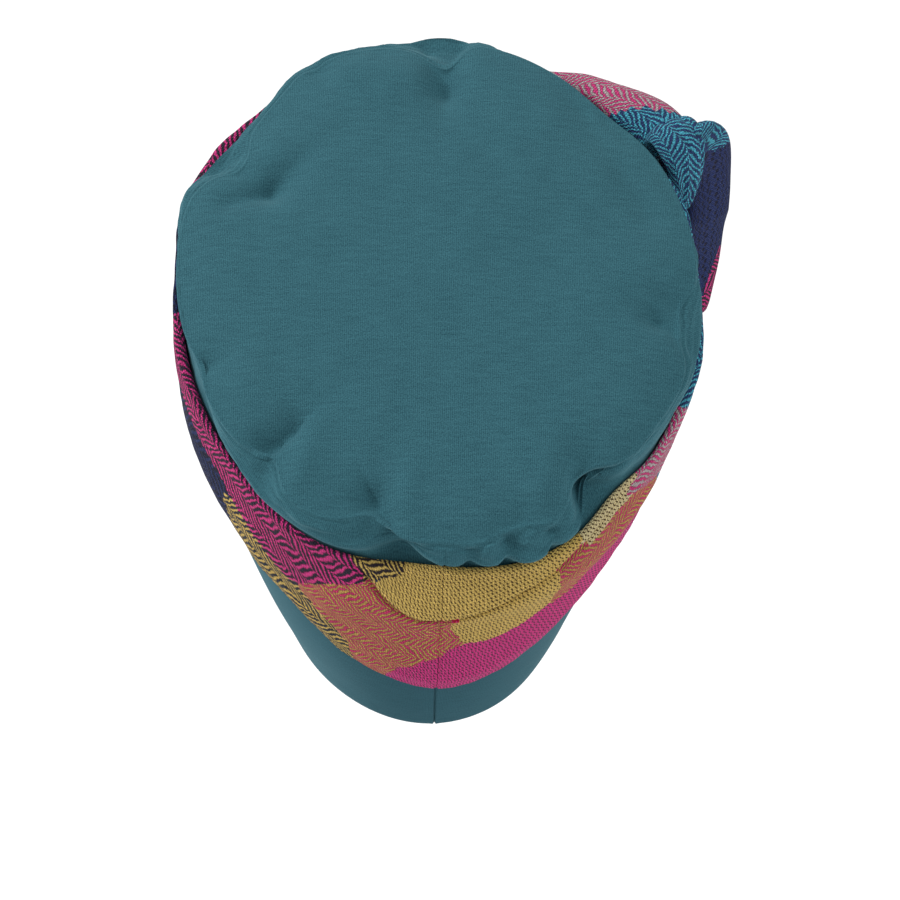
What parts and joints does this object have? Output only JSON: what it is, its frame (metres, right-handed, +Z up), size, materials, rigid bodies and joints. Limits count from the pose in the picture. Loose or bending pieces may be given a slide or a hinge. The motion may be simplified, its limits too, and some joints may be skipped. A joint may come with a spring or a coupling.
{
  "type": "turban",
  "caption": "Soft turban hat: a big round gathered crown on a head band, wrapped in a knitted scarf that is knotted at the front right.",
  "frame": {"origin": "middle of the head opening, in the plane of its edge", "axes": "+Z up out of the crown, -Y to the wearer's front, -X to the wearer's right"},
  "size_m": [0.2768, 0.2431, 0.2697],
  "materials": {
    "crown_jersey": "brushed jersey",
    "band_jersey": "brushed jersey",
    "scarf_knit": "patterned knit"
  },
  "bodies": {
    "root": {"crown_top": "crown_jersey", "crown_side": "crown_jersey", "head_band": "band_jersey", "scarf_band": "scarf_knit", "knot_wrap": "scarf_knit", "scarf_tail": "scarf_knit"}
  },
  "joints": []
}
